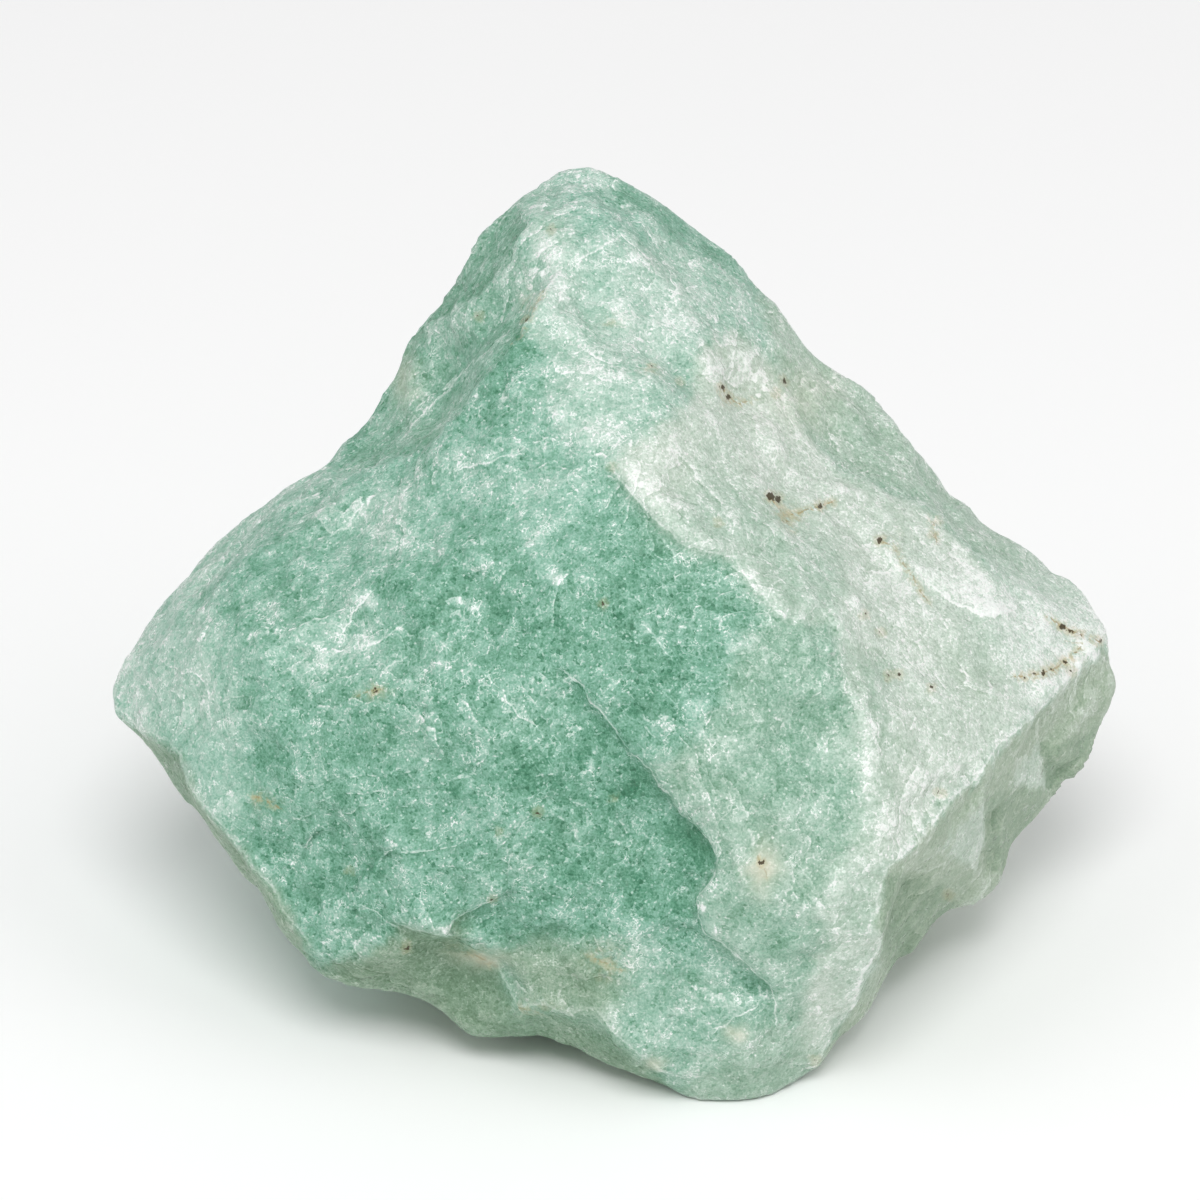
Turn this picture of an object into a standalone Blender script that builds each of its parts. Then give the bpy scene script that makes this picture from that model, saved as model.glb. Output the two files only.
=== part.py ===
"""A rough chunk of green aventurine, one natural stone broken from quartzite.

The stone is measured as it is sighted, face on, from 30 degrees above the surface
that it rests on. Its corners and ridges are landmarks at their real size. They are
joined into facets and the broken edges are worn round. Then shell-shaped flakes,
ledges, small planes and lumps are worked into the surface, and the flat that it
rests on is cut.
"""

import math

import bmesh
import bpy
import numpy as np
from mathutils import Matrix, Vector, noise
from mathutils.bvhtree import BVHTree

NAME = "aventurine_stone"
MM = 0.001

# The face that the stone shows best is sighted from this far above the horizontal.
VIEW_RISE = math.radians(30.0)
# The sighting distance, in millimetres. What is nearer looks larger by its share of it.
SIGHT = 417.0
# Height of the resting flat, below the middle of the face, in millimetres.
FLAT_Z = -22.0
# How much is taken off below to make it, and what is drawn onto it, in millimetres.
FOOT_CUT = 0.9
FOOT_SNAP = 0.15
LEVEL = 0.001
# The middle of the stone, from which every landmark can be seen.
CORE = Vector((1.0, 2.0, -3.0))

# The surface is worked on a fine ball that is drawn over the facets, with more of its
# points towards the stone's long ends. What wear takes off the corners is allowed for
# beforehand, in millimetres.
BALL_STEPS = 7
BALL_STRETCH = Vector((1.35, 1.0, 0.95))
WEAR_ALLOWANCE = 0.27
# Each pass of wear smooths in, then out again by a little more, so nothing shrinks.
WEAR_IN = 0.60
WEAR_OUT = -0.62
CORNER_WEAR = 20
FACE_WEAR = 3
TRIANGLES = 9000

# Lumps: width and height in millimetres.
LUMPS = ((9.0, 0.40), (4.0, 0.18))
LUMP_SHIFT = Vector((3.1, 7.7, 1.9))
# Small fracture planes: width, slope, and height of the steps between them.
PLANES = ((7.5, 0.11, 0.14), (3.8, 0.09, 0.06))
PLANE_BEND = 0.25
BEND_WIDTH = 0.45
PLANE_SHUFFLE = 7.3
STEP_SHUFFLE = 5.9
NOISE_SEED = 5

# Landmarks of the face, in millimetres: to the right, up, and towards the viewer.
# The outline runs clockwise from the peak.
OUTLINE = [
    (-2.4, 29.6, -8), (-0.1, 28.9, -8), (2.1, 27.5, -8), (4.8, 25.6, -9),
    (6.9, 24.4, -9), (8.2, 22.8, -9), (10.1, 20.8, -9), (12.4, 18.1, -9),
    (14.8, 16.2, -10), (17.8, 13.1, -10), (19.8, 10.6, -10), (21.6, 8.8, -11),
    (23.6, 6.9, -11), (26.6, 5.0, -10), (29.1, 2.9, -9), (30.4, 1.4, -8),
    (30.8, -0.6, -7), (31.2, -3.1, -8), (30.1, -5.6, -9), (28.1, -9.4, -9),
    (26.7, -10.7, -8), (25.0, -12.8, -7), (24.3, -14.4, -6), (23.2, -15.6, -5),
    (21.0, -16.8, -4), (19.5, -18.1, -3), (17.1, -20.6, -1), (15.8, -23.0, 1),
    (14.5, -24.4, 2), (12.2, -26.9, 3), (10.6, -28.1, 4), (8.5, -29.1, 5),
    (4.8, -28.6, 5), (0.9, -26.9, 5), (-2.4, -25.6, 4), (-4.6, -24.6, 4),
    (-8.6, -24.5, 3), (-10.4, -23.1, 3), (-13.4, -21.9, 2), (-16.8, -21.5, 2),
    (-19.4, -20.1, 1), (-20.7, -18.1, 1), (-22.2, -15.6, 0), (-24.2, -13.1, -1),
    (-26.0, -10.6, -2), (-27.8, -8.1, -3), (-29.8, -5.6, -4), (-31.0, -4.1, -5),
    (-31.2, -3.0, -5), (-30.6, -1.5, -5), (-29.4, 0.6, -6), (-27.4, 3.1, -7),
    (-24.9, 5.6, -8), (-23.4, 7.2, -8), (-20.1, 9.4, -8), (-17.1, 11.9, -8),
    (-15.2, 13.6, -8), (-14.2, 15.8, -9), (-12.8, 18.6, -9), (-10.3, 21.9, -9),
    (-8.9, 24.4, -9), (-7.8, 26.1, -9), (-6.5, 27.2, -8), (-4.9, 28.2, -8),
]
# The edge where the front face ends above, over the hollow on the upper left.
CREST = [
    (-3.7, 22.5, 3), (-4.4, 21.2, 4), (-5.7, 18.8, 5), (-6.5, 17.8, 5.5),
    (-8.0, 16.8, 5), (-9.6, 14.2, 5), (-11.0, 12.4, 4), (-13.0, 11.5, 2),
    (-14.6, 10.9, 0.5), (-17.1, 10.4, -2), (-19.0, 10.0, -4),
]
HOLLOW_FLOOR = [
    (-7.1, 20.0, -1), (-9.0, 18.1, -1.5), (-10.9, 16.2, -2.5), (-12.8, 13.8, -4),
    (-15.0, 12.0, -5),
]
# The thin ridge that runs from the peak down the far side of the hollow.
PEAK_RIDGE = [
    (-5.4, 25.7, -1), (-6.4, 23.6, -1), (-7.5, 22.6, -1.5), (-8.5, 21.4, -2.5),
    (-9.9, 20.5, -4), (-11.5, 19.0, -6),
]
PEAK_FACE = [(-2.1, 28.6, -5), (-0.9, 26.6, -1), (2.0, 23.0, 1)]
# Where the pale upper right face turns into the greener band behind it.
SHOULDER = [
    (1.6, 26.7, -5), (4.8, 24.4, -5.5), (7.6, 21.6, -5), (10.4, 17.2, -4),
    (11.6, 13.7, -2.5), (12.9, 11.8, -2), (15.1, 10.2, -2), (17.8, 8.8, -2.5),
    (20.8, 7.4, -3.5), (23.5, 4.4, -3), (24.9, 2.6, -2.5), (27.2, 1.8, -3.5),
]
PALE_FACE = [
    (1.6, 19.0, 4), (5.4, 18.8, 2), (-0.9, 17.0, 8), (2.9, 15.0, 8),
    (7.2, 13.1, 4), (5.4, 8.8, 10.5), (10.4, 8.8, 5), (12.9, 5.0, 7.5),
    (16.6, 4.4, 3.5), (17.9, 0.0, 7.5), (21.6, 0.0, 3), (25.4, 0.0, -0.5),
    (19.1, -5.0, 9.5), (22.9, -3.8, 5),
]
# Where the green front face turns into the pale one.
BREAK = [(1.6, 10.0, 12.5), (7.9, 4.0, 13.5), (12.9, 0.0, 13), (15.4, -5.0, 13.5)]
# The strong ridge over the shaded lower right side, from the right corner down.
SIDE_RIDGE = [
    (29.8, -0.6, -5), (29.0, -1.4, -3.5), (27.4, -3.1, -0.5), (25.7, -4.9, 2),
    (23.8, -6.6, 4.5), (21.5, -9.2, 8), (19.2, -12.1, 11), (17.2, -13.3, 13),
    (16.5, -15.0, 13), (16.4, -17.5, 12), (15.9, -19.8, 10), (14.9, -21.9, 8),
    (13.5, -24.2, 6),
]
SHADED_SIDE = [
    (27.9, -5.6, -4), (24.1, -9.4, 1), (21.6, -12.5, 4), (19.1, -15.6, 5.5),
    (17.9, -18.1, 4),
]
# The lower edge of the front face, from the left corner to the tip.
LOWER_EDGE = [
    (-29.7, -5.4, -0.5), (-27.0, -7.1, 3), (-25.8, -10.0, 3.5), (-24.5, -11.4, 4),
    (-22.7, -13.8, 4.5), (-20.6, -16.9, 5), (-18.6, -19.6, 5), (-14.6, -19.7, 7),
    (-10.5, -18.6, 9.5), (-7.4, -19.8, 8), (-4.2, -22.6, 7.5), (-1.2, -22.8, 9),
    (1.6, -25.6, 8), (3.8, -27.4, 7),
]
GREEN_FACE = [
    (-25.9, 0.0, 3.5), (-27.1, -3.1, 3), (-22.8, 5.0, 1.5), (-22.1, 0.0, 7),
    (-22.1, -6.2, 7.5), (-18.4, 7.5, 2.5), (-17.1, 2.5, 8), (-17.8, -3.8, 10),
    (-18.4, -10.0, 8.5), (-17.1, -15.0, 7.5), (-12.1, 8.8, 6.5), (-11.5, 3.8, 11),
    (-11.5, -2.5, 13), (-12.1, -8.8, 12), (-12.1, -14.4, 10.5), (-7.1, 13.1, 8),
    (-5.9, 7.5, 11.5), (-4.6, 1.2, 14), (-5.9, -6.2, 14), (-5.9, -12.5, 12.5),
    (-7.1, -16.9, 10), (-2.8, 13.1, 10), (-0.9, 5.0, 14), (1.6, -1.2, 15),
    (0.4, -8.1, 14), (0.4, -15.0, 12.5), (-0.9, -19.4, 10.5), (4.1, -20.0, 11),
    (5.4, -25.0, 9), (9.1, -26.2, 8), (7.9, -7.5, 15.5), (6.6, -13.8, 14.5),
    (10.4, -16.2, 14), (11.6, -10.0, 15), (11.6, -21.2, 11), (7.9, -1.2, 15),
    (14.1, -15.0, 14),
]
FACE = (OUTLINE, CREST, HOLLOW_FLOOR, PEAK_RIDGE, PEAK_FACE, SHOULDER, PALE_FACE,
        BREAK, SIDE_RIDGE, SHADED_SIDE, LOWER_EDGE, GREEN_FACE)
# Landmarks of the hidden sides, in millimetres: right, back and up.
BACK = [
    (1, 27, 6), (-13, 22, 3), (13, 24, 0), (-22, 17, -2), (23, 18, -3),
    (-28, 9, -5), (28, 11, -6), (-3, 25, -7), (14, 21, -13), (-16, 17, -12),
    (3, 24, 14), (-8, 20, 13), (-23, 8, -14), (24, 9, -14), (-15, -3, -18),
    (22, 0, -17), (0, 19, -18),
]
# Where the stone comes down to the flat that it rests on: right and back.
FLAT_EDGE = [
    (7, -14), (9, -8), (9, -1), (7, 6), (1, 8), (-5, 6), (-7, 0), (-5, -7),
    (0, -12), (1, -3),
]

# Shell-shaped flakes lost from the face: right, up, radius of the rim and depth.
FACE_FLAKES = [
    (-11.2, 15.8, 4.2, 0.9), (8.2, 15.3, 3.2, 0.6), (11.2, 8.0, 2.8, 0.5),
    (19.6, -0.8, 4.2, 0.6), (1.0, -12.4, 5.5, 0.8), (-18.5, -13.6, 4.0, 0.6),
    (-9.4, -20.6, 3.2, 0.9), (-0.6, -21.2, 3.0, 0.6), (18.4, -16.4, 3.2, 0.8),
    (26.6, -6.4, 3.4, 0.6), (-16.4, 7.2, 3.4, 0.5), (2.6, 20.6, 3.6, 0.5),
    (-22.4, -7.6, 3.0, 0.4), (12.6, -6.4, 3.6, 0.4), (-8.0, 2.0, 4.0, 0.4),
]
# Flakes lost from the hidden sides: right, back, up, radius of the rim and depth.
BACK_FLAKES = [
    (4, 28, 2, 8.0, 1.6), (-18, 20, 0, 7.0, 1.4), (20, 20, -6, 6.5, 1.3),
    (-6, 24, 12, 6.0, 1.1), (10, 24, 8, 5.0, 0.9), (-24, 10, -12, 6.0, 1.2),
    (4, 22, -16, 7.0, 1.4), (26, 6, -14, 5.5, 1.1), (-16, -6, -18, 4.5, 0.8),
]
# Ledges of the face, as sighted. Each has its height, how far the raised side reaches,
# and its line, which runs with the raised side on its left.
SLAB_LEDGE = (0.85, 6.0, [
    (-2.1, -3.0), (-0.6, -5.0), (0.6, -6.6), (2.3, -8.0), (3.6, -9.6), (5.3, -11.8),
    (6.3, -13.8), (5.8, -15.0), (5.1, -16.6), (6.0, -18.4), (7.2, -19.0),
    (9.3, -21.1),
])
PALE_LEDGE = (0.45, 5.0, [
    (0.4, 10.4), (1.4, 8.8), (2.9, 7.1), (4.8, 5.8), (7.4, 5.2), (8.4, 3.6),
    (10.2, 1.6), (12.6, 2.0), (13.7, 0.9),
])
SPUR_LEDGE = (0.60, 4.0, [
    (-13.2, -17.8), (-11.6, -18.0), (-10.5, -18.5), (-9.4, -17.0), (-7.4, -16.0),
])
BAND_LEDGE = (0.35, 4.0, [
    (14.9, -4.0), (15.6, -6.6), (15.4, -8.6), (15.6, -10.6), (14.4, -13.0),
    (13.1, -15.8), (12.9, -17.4), (13.4, -19.3), (12.2, -20.5),
])
LEDGES = (SLAB_LEDGE, PALE_LEDGE, SPUR_LEDGE, BAND_LEDGE)
# How wide a ledge's drop is, how fast it fades past its ends, and how much of its
# height lies above the old surface.
DROP_WIDTH = 0.20
END_FADE = 1.2
RAISED_SHARE = 0.55
# How squarely a place must face the viewer to take a ledge in full, or a flake at all.
FULL_LEDGE_FACING = 0.4
FLAKE_FACING = 0.15
FAR = 1e9

STONE_GREEN = (0.35, 0.53, 0.43, 1.0)
STONE_ROUGHNESS = 0.62


def clear_scene():
    for obj in list(bpy.data.objects):
        bpy.data.objects.remove(obj, do_unlink=True)


def sighted_to_rest():
    """Turns right, up and towards the viewer into right, back and up at rest."""
    rise, level = math.sin(VIEW_RISE), math.cos(VIEW_RISE)
    return Matrix(((1, 0, 0), (0, rise, -level), (0, level, rise)))


def landmarks():
    """Every landmark at rest, in millimetres, with the sighting's enlargement taken out."""
    turn = sighted_to_rest()
    points = []
    for line in FACE:
        for right, up, near in line:
            scale = 1.0 - near / SIGHT
            points.append(turn @ Vector((right * scale, up * scale, near)))
    for point in BACK:
        points.append(Vector(point))
    for right, back in FLAT_EDGE:
        points.append(Vector((right, back, FLAT_Z - FOOT_CUT)))
    return points


def facets(points):
    """Joins the landmarks into a closed body, as they neighbour each other from the core."""
    body = bmesh.new()
    corners = [body.verts.new((point - CORE).normalized()) for point in points]
    bmesh.ops.convex_hull(body, input=corners)
    for corner, point in zip(corners, points):
        corner.co = point
    bmesh.ops.recalc_face_normals(body, faces=body.faces)
    mesh = bpy.data.meshes.new(NAME)
    body.to_mesh(mesh)
    body.free()
    return mesh


def draw_over(mesh):
    """Draws a fine ball over the facets, point by point outwards from the core."""
    shape = bmesh.new()
    shape.from_mesh(mesh)
    tree = BVHTree.FromBMesh(shape)
    shape.free()
    ball = bmesh.new()
    bmesh.ops.create_icosphere(ball, subdivisions=BALL_STEPS, radius=1.0)
    for point in ball.verts:
        direction = (point.co * BALL_STRETCH).normalized()
        place = tree.ray_cast(CORE, direction)[0]
        point.co = place + direction * WEAR_ALLOWANCE
    ball.to_mesh(mesh)
    ball.free()


def positions(mesh):
    points = np.empty(len(mesh.vertices) * 3)
    mesh.vertices.foreach_get("co", points)
    return points.reshape(-1, 3)


def outward(mesh):
    """The direction straight out of the surface at each point."""
    directions = np.empty(len(mesh.vertices) * 3)
    mesh.vertices.foreach_get("normal", directions)
    return directions.reshape(-1, 3)


def move_to(mesh, points):
    mesh.vertices.foreach_set("co", points.ravel())
    mesh.update()


def wear(mesh, passes):
    """Rounds broken edges without shrinking the stone."""
    edges = np.empty(len(mesh.edges) * 2, dtype=np.int64)
    mesh.edges.foreach_get("vertices", edges)
    edges = edges.reshape(-1, 2)
    ends = np.concatenate([edges[:, 0], edges[:, 1]])
    others = np.concatenate([edges[:, 1], edges[:, 0]])
    points = positions(mesh)
    count = np.bincount(ends)
    for _ in range(passes):
        for amount in (WEAR_IN, WEAR_OUT):
            for axis in range(3):
                total = np.bincount(ends, weights=points[others, axis])
                points[:, axis] += amount * (total / count - points[:, axis])
    move_to(mesh, points)


def as_sighted(points):
    """Points at rest as they are sighted: right, up and towards the viewer."""
    seen = points @ np.array(sighted_to_rest())
    seen[:, :2] *= (SIGHT / (SIGHT - seen[:, 2]))[:, None]
    return seen


def facing_viewer(directions):
    """How squarely each place faces the viewer: 1 in full, 0 or less from the side."""
    return directions @ np.array(sighted_to_rest())[:, 2]


def lose_flake(points, directions, nearest, rim, depth):
    """Takes a shell-shaped flake: the surface is pushed out of a ball set into it."""
    radius = (rim * rim + depth * depth) / (2 * depth)
    around = np.linalg.norm(points - points[nearest], axis=1) < rim
    out = directions[around].mean(axis=0)
    out /= np.linalg.norm(out)
    middle = points[nearest] + out * (radius - depth)
    away = points - middle
    distance = np.linalg.norm(away, axis=1)
    inside = distance < radius
    points[inside] = middle + away[inside] * (radius / distance[inside])[:, None]


def lose_flakes(mesh):
    points = positions(mesh)
    directions = outward(mesh)
    turned_away = facing_viewer(directions) < FLAKE_FACING
    for right, up, rim, depth in FACE_FLAKES:
        gap = np.linalg.norm(as_sighted(points)[:, :2] - (right, up), axis=1)
        gap[turned_away] = FAR
        lose_flake(points, directions, gap.argmin(), rim, depth)
    for right, back, up, rim, depth in BACK_FLAKES:
        gap = np.linalg.norm(points - (right, back, up), axis=1)
        lose_flake(points, directions, gap.argmin(), rim, depth)
    move_to(mesh, points)


def beside_line(seen, line):
    """Distance from a drawn line, more than 0 on its left, and how far past its ends."""
    near = np.full(len(seen), FAR)
    signed = np.zeros(len(seen))
    past = np.zeros(len(seen))
    last = len(line) - 2
    for number, (start, end) in enumerate(zip(line, line[1:])):
        along = np.subtract(end, start)
        length = np.linalg.norm(along)
        along = along / length
        offset = seen - start
        travel = offset @ along
        to_left = along[0] * offset[:, 1] - along[1] * offset[:, 0]
        nearest = np.clip(travel, 0, length)[:, None] * along
        gap = np.linalg.norm(offset - nearest, axis=1)
        before = -travel if number == 0 else np.zeros(len(seen))
        beyond = travel - length if number == last else np.zeros(len(seen))
        closer = gap < near
        near[closer] = gap[closer]
        signed[closer] = (np.sign(to_left) * gap)[closer]
        past[closer] = np.maximum(np.maximum(before, beyond), 0)[closer]
    return signed, past


def raise_ledges(mesh):
    """Raises the left side of each drawn line into a ledge that dies away with distance."""
    points = positions(mesh)
    directions = outward(mesh)
    seen = as_sighted(points)[:, :2]
    share = np.clip(facing_viewer(directions) / FULL_LEDGE_FACING, 0, 1)
    for height, reach, line in LEDGES:
        signed, past = beside_line(seen, line)
        crossing = 1 / (1 + np.exp(-signed / DROP_WIDTH))
        fade = np.exp(-(signed / reach) ** 2 - (past / END_FADE) ** 2)
        rise = height * (crossing - 1 + RAISED_SHARE) * fade * share
        points += directions * rise[:, None]
    move_to(mesh, points)


def rise_at(place):
    """How far the lumps and small planes raise the surface at a place."""
    rise = 0.0
    for width, height in LUMPS:
        rise += height * noise.noise(place / width + LUMP_SHIFT)
    for width, slope, step in PLANES:
        cell = place / width
        bent = cell + PLANE_BEND * noise.noise_vector(cell / BEND_WIDTH)
        middle = noise.voronoi(bent)[1][0]
        tilt = noise.cell_vector(middle * PLANE_SHUFFLE) - Vector((0.5, 0.5, 0.5))
        rise += slope * width * tilt.dot(bent - middle)
        rise += step * (noise.cell(middle * STEP_SHUFFLE) - 0.5)
    return rise


def planes_and_lumps(mesh):
    """Breaks the surface into small tilted planes with slight steps, over low lumps."""
    noise.seed_set(NOISE_SEED)
    points = positions(mesh)
    rise = np.array([rise_at(Vector(point)) for point in points])
    move_to(mesh, points + outward(mesh) * rise[:, None])


def thin_out(stone):
    """Keeps the triangles that carry the shape."""
    reduce = stone.modifiers.new("reduce", "DECIMATE")
    reduce.decimate_type = "COLLAPSE"
    reduce.ratio = TRIANGLES / len(stone.data.polygons)
    graph = bpy.context.evaluated_depsgraph_get()
    mesh = bpy.data.meshes.new_from_object(stone.evaluated_get(graph))
    stone.modifiers.clear()
    worked = stone.data
    stone.data = mesh
    bpy.data.meshes.remove(worked)
    mesh.name = NAME


def cut_flat(mesh):
    """Cuts the flat that the stone rests on."""
    body = bmesh.new()
    body.from_mesh(mesh)
    for corner in body.verts:
        if abs(corner.co.z - FLAT_Z) < FOOT_SNAP:
            corner.co.z = FLAT_Z
    bmesh.ops.bisect_plane(
        body, geom=body.verts[:] + body.edges[:] + body.faces[:], dist=LEVEL,
        plane_co=(0, 0, FLAT_Z), plane_no=(0, 0, -1), clear_outer=True,
    )
    level = [face for face in body.faces
             if max(corner.co.z for corner in face.verts) < FLAT_Z + LEVEL]
    bmesh.ops.delete(body, geom=level, context="FACES")
    rim = [edge for edge in body.edges if edge.is_boundary]
    bmesh.ops.triangle_fill(body, use_beauty=True, edges=rim)
    bmesh.ops.recalc_face_normals(body, faces=body.faces)
    body.to_mesh(mesh)
    body.free()


def stand_on_origin(mesh):
    """Puts the origin under the middle of the stone, in metres."""
    points = positions(mesh)
    low, high = points.min(axis=0), points.max(axis=0)
    foot = Vector(((low[0] + high[0]) / 2, (low[1] + high[1]) / 2, low[2]))
    mesh.transform(Matrix.Scale(MM, 4) @ Matrix.Translation(-foot))
    mesh.update()
    return foot


def stone_material():
    material = bpy.data.materials.new("green aventurine")
    material.use_nodes = True
    surface = material.node_tree.nodes["Principled BSDF"]
    surface.inputs["Base Color"].default_value = STONE_GREEN
    surface.inputs["Roughness"].default_value = STONE_ROUGHNESS
    surface.inputs["Metallic"].default_value = 0.0
    return material


def main():
    clear_scene()
    collection = bpy.data.collections.new("rough_green_aventurine")
    bpy.context.scene.collection.children.link(collection)
    stone = bpy.data.objects.new(NAME, facets(landmarks()))
    collection.objects.link(stone)
    draw_over(stone.data)
    wear(stone.data, CORNER_WEAR)
    lose_flakes(stone.data)
    planes_and_lumps(stone.data)
    wear(stone.data, FACE_WEAR)
    raise_ledges(stone.data)
    thin_out(stone)
    cut_flat(stone.data)
    foot = stand_on_origin(stone.data)
    stone.data.materials.append(stone_material())
    return foot


main()
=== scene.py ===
import math

import bmesh
import bpy
import numpy as np
from mathutils import Matrix, Vector, noise


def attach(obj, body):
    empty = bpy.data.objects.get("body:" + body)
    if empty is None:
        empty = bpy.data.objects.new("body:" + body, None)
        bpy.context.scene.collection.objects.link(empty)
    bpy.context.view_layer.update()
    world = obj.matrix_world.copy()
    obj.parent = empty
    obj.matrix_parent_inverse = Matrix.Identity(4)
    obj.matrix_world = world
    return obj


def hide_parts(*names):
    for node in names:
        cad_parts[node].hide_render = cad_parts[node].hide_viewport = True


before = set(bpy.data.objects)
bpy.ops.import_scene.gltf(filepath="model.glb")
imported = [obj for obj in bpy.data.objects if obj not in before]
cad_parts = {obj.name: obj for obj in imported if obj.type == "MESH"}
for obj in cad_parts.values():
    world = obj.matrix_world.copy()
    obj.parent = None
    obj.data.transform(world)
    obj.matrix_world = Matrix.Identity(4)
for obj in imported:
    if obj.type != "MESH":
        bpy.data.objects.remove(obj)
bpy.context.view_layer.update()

NODE = "aventurine_stone"

# Sizes below are in millimetres unless they say otherwise.
MM = 0.001
# The stone's face is sighted from this far above the horizontal and at this distance.
VIEW_RISE = math.radians(30.0)
SIGHT = 417.0
# Where the middle of the face lies from the origin: right, back and up.
FACE_MIDDLE = Vector((-0.081, -2.776, 22.0))
# Where the picture's middle lies from the middle of the face, as sighted.
PICTURE_MIDDLE = Vector((-0.875, 2.5, 0.0))

# The worked surface: how close corners are joined, its grid, and how much the solid's
# facets are smoothed.
WELD = 0.0005
GRID = 0.338
FACET_PASSES = 5
SMOOTH_IN = 0.60
SMOOTH_OUT = -0.62
# How much the direction of the surface and its sharpness are evened out.
FACING_PASSES = 12
SHARP_PASSES = 3
# What is drawn on the face fades where the surface turns from the viewer: over how much of
# the turn, and what is left of it on the outline.
SHARE_BAND = 0.25
EDGE_SHARE = 0.3
# The small planes depend on this seed.
NOISE_SEED = 5
# Farther than any point of the stone, and the steepest step that is worked out.
FAR = 1e9
EASE_LIMIT = 40

# Small fracture planes: width, slope, and height of the steps between them.
CHIP_PLANES = ((2.9, 0.11, 0.08), (1.4, 0.09, 0.025))
PLANE_BEND = 0.3
BEND_WIDTH = 0.45
PLANE_SHUFFLE = 7.3
STEP_SHUFFLE = 5.9
# Grit: width and height of the sugary grain that the mesh carries.
GRIT = ((0.80, 0.018), (0.50, 0.018))
# Terraces: width of the swell that is cut into steps, steps per swell, and their height.
TERRACES = ((9.0, 5.0, 0.15), (4.5, 4.0, 0.07))
TERRACE_WANDER = 0.07
TERRACE_WANDER_WIDTH = 1.1
TERRACE_EDGE = 0.12
# How much of this relief shows where the stone is calm and what mottling adds, and how
# much of it is left on the outline, with the share of the turn that it fades over.
CALM_RELIEF = 0.25
BUSY_RELIEF = 0.65
OUTLINE_RELIEF = 0.4
OUTLINE_BAND = 0.4
# Drawn lines and zones wander by a soft noise of this width.
WANDER_WIDTH = 0.9
ZONE_WANDER = (0.5, -0.4)
LEDGE_WANDER = 0.22
# Width of a ledge's step, how far past its end a line fades, and how far from it the
# material still knows its distance.
LEDGE_EDGE = 0.10
LINE_END = 0.8
MARK_SPAN = 3

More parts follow.
